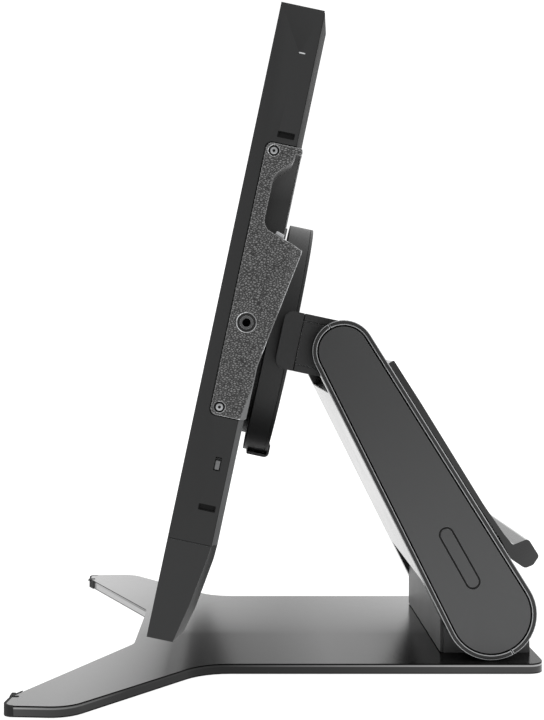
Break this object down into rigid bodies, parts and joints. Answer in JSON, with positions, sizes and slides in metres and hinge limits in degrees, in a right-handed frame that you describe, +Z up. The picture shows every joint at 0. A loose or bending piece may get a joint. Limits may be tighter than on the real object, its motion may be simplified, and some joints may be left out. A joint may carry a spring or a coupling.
{
  "type": "pen drawing tablet",
  "caption": "Pen display with side grips on a rotating disc mount, tilting neck and brake-lever arm over a flat two-legged base plate.",
  "frame": {"origin": "on the floor under the middle of the footprint", "axes": "+X to the user's right along the screen's width, +Y to the rear, +Z up; the screen faces -Y"},
  "size_m": [0.638, 0.3818, 0.445],
  "materials": {
    "screen_glass": "etched black-bordered glass",
    "housing": "fine satin, very dark grey",
    "panel": "dark display cell",
    "diffuser": "white light guide",
    "board": "solder-masked board",
    "chassis": "cast and machined",
    "fan_plastic": "black moulded",
    "grip_skin": "pebbled grip texture",
    "liner": "smooth moulded",
    "socket": "black moulded",
    "connector": "stamped shell",
    "fastener": "blackened steel",
    "light": "light guide",
    "switch_metal": "satin slider",
    "key": "satin key cap",
    "foot_rubber": "black rubber",
    "disc": "fine powder coat",
    "lock_plastic": "moulded",
    "yoke": "powder coat",
    "neck": "satin",
    "shaft": "ground steel",
    "arm_structure": "cast",
    "arm_front": "light satin paint",
    "arm_rear": "satin",
    "arm_cover": "satin side cover",
    "lever": "satin",
    "spring": "oiled spring steel",
    "pedestal": "powder coat",
    "base": "metallic powder coat"
  },
  "bodies": {
    "base": {"base_plate": "base", "base_feet": "foot_rubber", "pedestal": "pedestal", "lower_shaft": "shaft", "counterbalance_springs": "spring"},
    "arm": {"arm_plates": "arm_structure", "arm_cross_bars": "arm_structure", "arm_front_shell": "arm_front", "arm_rear_shell": "arm_rear", "arm_side_covers": "arm_cover", "brake_shoes": "arm_structure", "lever_pin": "shaft", "lever_spring": "spring", "tilt_shaft": "shaft"},
    "lever": {"brake_lever": "lever"},
    "head": {"yoke_plate": "yoke", "swivel_spindle": "shaft", "spindle_nut": "fastener", "neck_shell": "neck", "neck_side_covers": "neck", "tilt_friction_discs": "shaft"},
    "display": {"cover_glass": "screen_glass", "mid_frame": "housing", "lcd_panel": "panel", "backlight_unit": "diffuser", "digitizer_board": "board", "chassis_plate": "chassis", "main_board": "board", "power_board": "board", "heat_sinks": "chassis", "fan_housings": "fan_plastic", "key_boards": "board", "rear_cover": "housing", "lower_cover": "housing", "port_block": "socket", "port_shells": "connector", "grip_right": "grip_skin", "grip_left": "grip_skin", "recess_liners": "liner", "grip_screws": "fastener", "accessory_inserts": "fastener", "side_sockets": "socket", "status_light": "light", "display_feet": "foot_rubber", "mount_disc": "disc", "disc_cover": "disc", "disc_screws": "fastener"},
    "lock": {"rotation_lock": "lock_plastic"},
    "power": {"power_button": "key"},
    "switch": {"touch_switch": "switch_metal"},
    "fan_right": {"fan_rotor_right": "fan_plastic"},
    "fan_left": {"fan_rotor_left": "fan_plastic"},
    "key_right_1": {"key_right_1": "key"},
    "key_right_2": {"key_right_2": "key"},
    "key_right_3": {"key_right_3": "key"},
    "key_right_4": {"key_right_4": "key"},
    "key_left_1": {"key_left_1": "key"},
    "key_left_2": {"key_left_2": "key"},
    "key_left_3": {"key_left_3": "key"},
    "key_left_4": {"key_left_4": "key"}
  },
  "joints": [
    {"name": "arm_lift", "type": "hinge", "parent": "base", "child": "arm", "pos_m": [0, 0.1506, 0.0434], "axis": [1, 0, 0], "range_deg": [-29, 14]},
    {"name": "screen_tilt", "type": "hinge", "parent": "arm", "child": "head", "pos_m": [0, 0.04049, 0.23962], "axis": [-1, 0, 0], "range_deg": [-10, 73]},
    {"name": "screen_rotation", "type": "hinge", "parent": "head", "child": "display", "pos_m": [0, -0.00235, 0.24872], "axis": [0, 0.9781, -0.2079], "range_deg": [-12, 12]},
    {"name": "brake_pull", "type": "hinge", "parent": "arm", "child": "lever", "pos_m": [0, 0.07934, 0.22759], "axis": [1, 0, 0], "range_deg": [0, 6], "stiffness_Nm_per_rad": 2, "springref_deg": -11.46},
    {"name": "lock_slide", "type": "slide", "parent": "display", "child": "lock", "axis": [1, 0, 0], "range_m": [0, 0.008]},
    {"name": "power_press", "type": "slide", "parent": "display", "child": "power", "axis": [0, -0.2079, -0.9781], "range_m": [0, 0.0006], "stiffness_N_per_m": 400, "springref_m": -0.0005},
    {"name": "touch_slide", "type": "slide", "parent": "display", "child": "switch", "axis": [0, 0.2079, 0.9781], "range_m": [0, 0.0015]},
    {"name": "fan_right_spin", "type": "hinge", "parent": "display", "child": "fan_right", "pos_m": [0.19, -0.01744, 0.33167], "axis": [0, 0.9781, -0.2079], "continuous": true},
    {"name": "fan_left_spin", "type": "hinge", "parent": "display", "child": "fan_left", "pos_m": [-0.19, -0.01744, 0.33167], "axis": [0, 0.9781, -0.2079], "continuous": true},
    {"name": "key_right_1_press", "type": "slide", "parent": "display", "child": "key_right_1", "axis": [0, -0.9781, 0.2079], "range_m": [0, 0.0008], "stiffness_N_per_m": 400, "springref_m": -0.0005},
    {"name": "key_right_2_press", "type": "slide", "parent": "display", "child": "key_right_2", "axis": [0, -0.9781, 0.2079], "range_m": [0, 0.0008], "stiffness_N_per_m": 400, "springref_m": -0.0005},
    {"name": "key_right_3_press", "type": "slide", "parent": "display", "child": "key_right_3", "axis": [0, -0.9781, 0.2079], "range_m": [0, 0.0008], "stiffness_N_per_m": 400, "springref_m": -0.0005},
    {"name": "key_right_4_press", "type": "slide", "parent": "display", "child": "key_right_4", "axis": [0, -0.9781, 0.2079], "range_m": [0, 0.0008], "stiffness_N_per_m": 400, "springref_m": -0.0005},
    {"name": "key_left_1_press", "type": "slide", "parent": "display", "child": "key_left_1", "axis": [0, -0.9781, 0.2079], "range_m": [0, 0.0008], "stiffness_N_per_m": 400, "springref_m": -0.0005},
    {"name": "key_left_2_press", "type": "slide", "parent": "display", "child": "key_left_2", "axis": [0, -0.9781, 0.2079], "range_m": [0, 0.0008], "stiffness_N_per_m": 400, "springref_m": -0.0005},
    {"name": "key_left_3_press", "type": "slide", "parent": "display", "child": "key_left_3", "axis": [0, -0.9781, 0.2079], "range_m": [0, 0.0008], "stiffness_N_per_m": 400, "springref_m": -0.0005},
    {"name": "key_left_4_press", "type": "slide", "parent": "display", "child": "key_left_4", "axis": [0, -0.9781, 0.2079], "range_m": [0, 0.0008], "stiffness_N_per_m": 400, "springref_m": -0.0005}
  ]
}
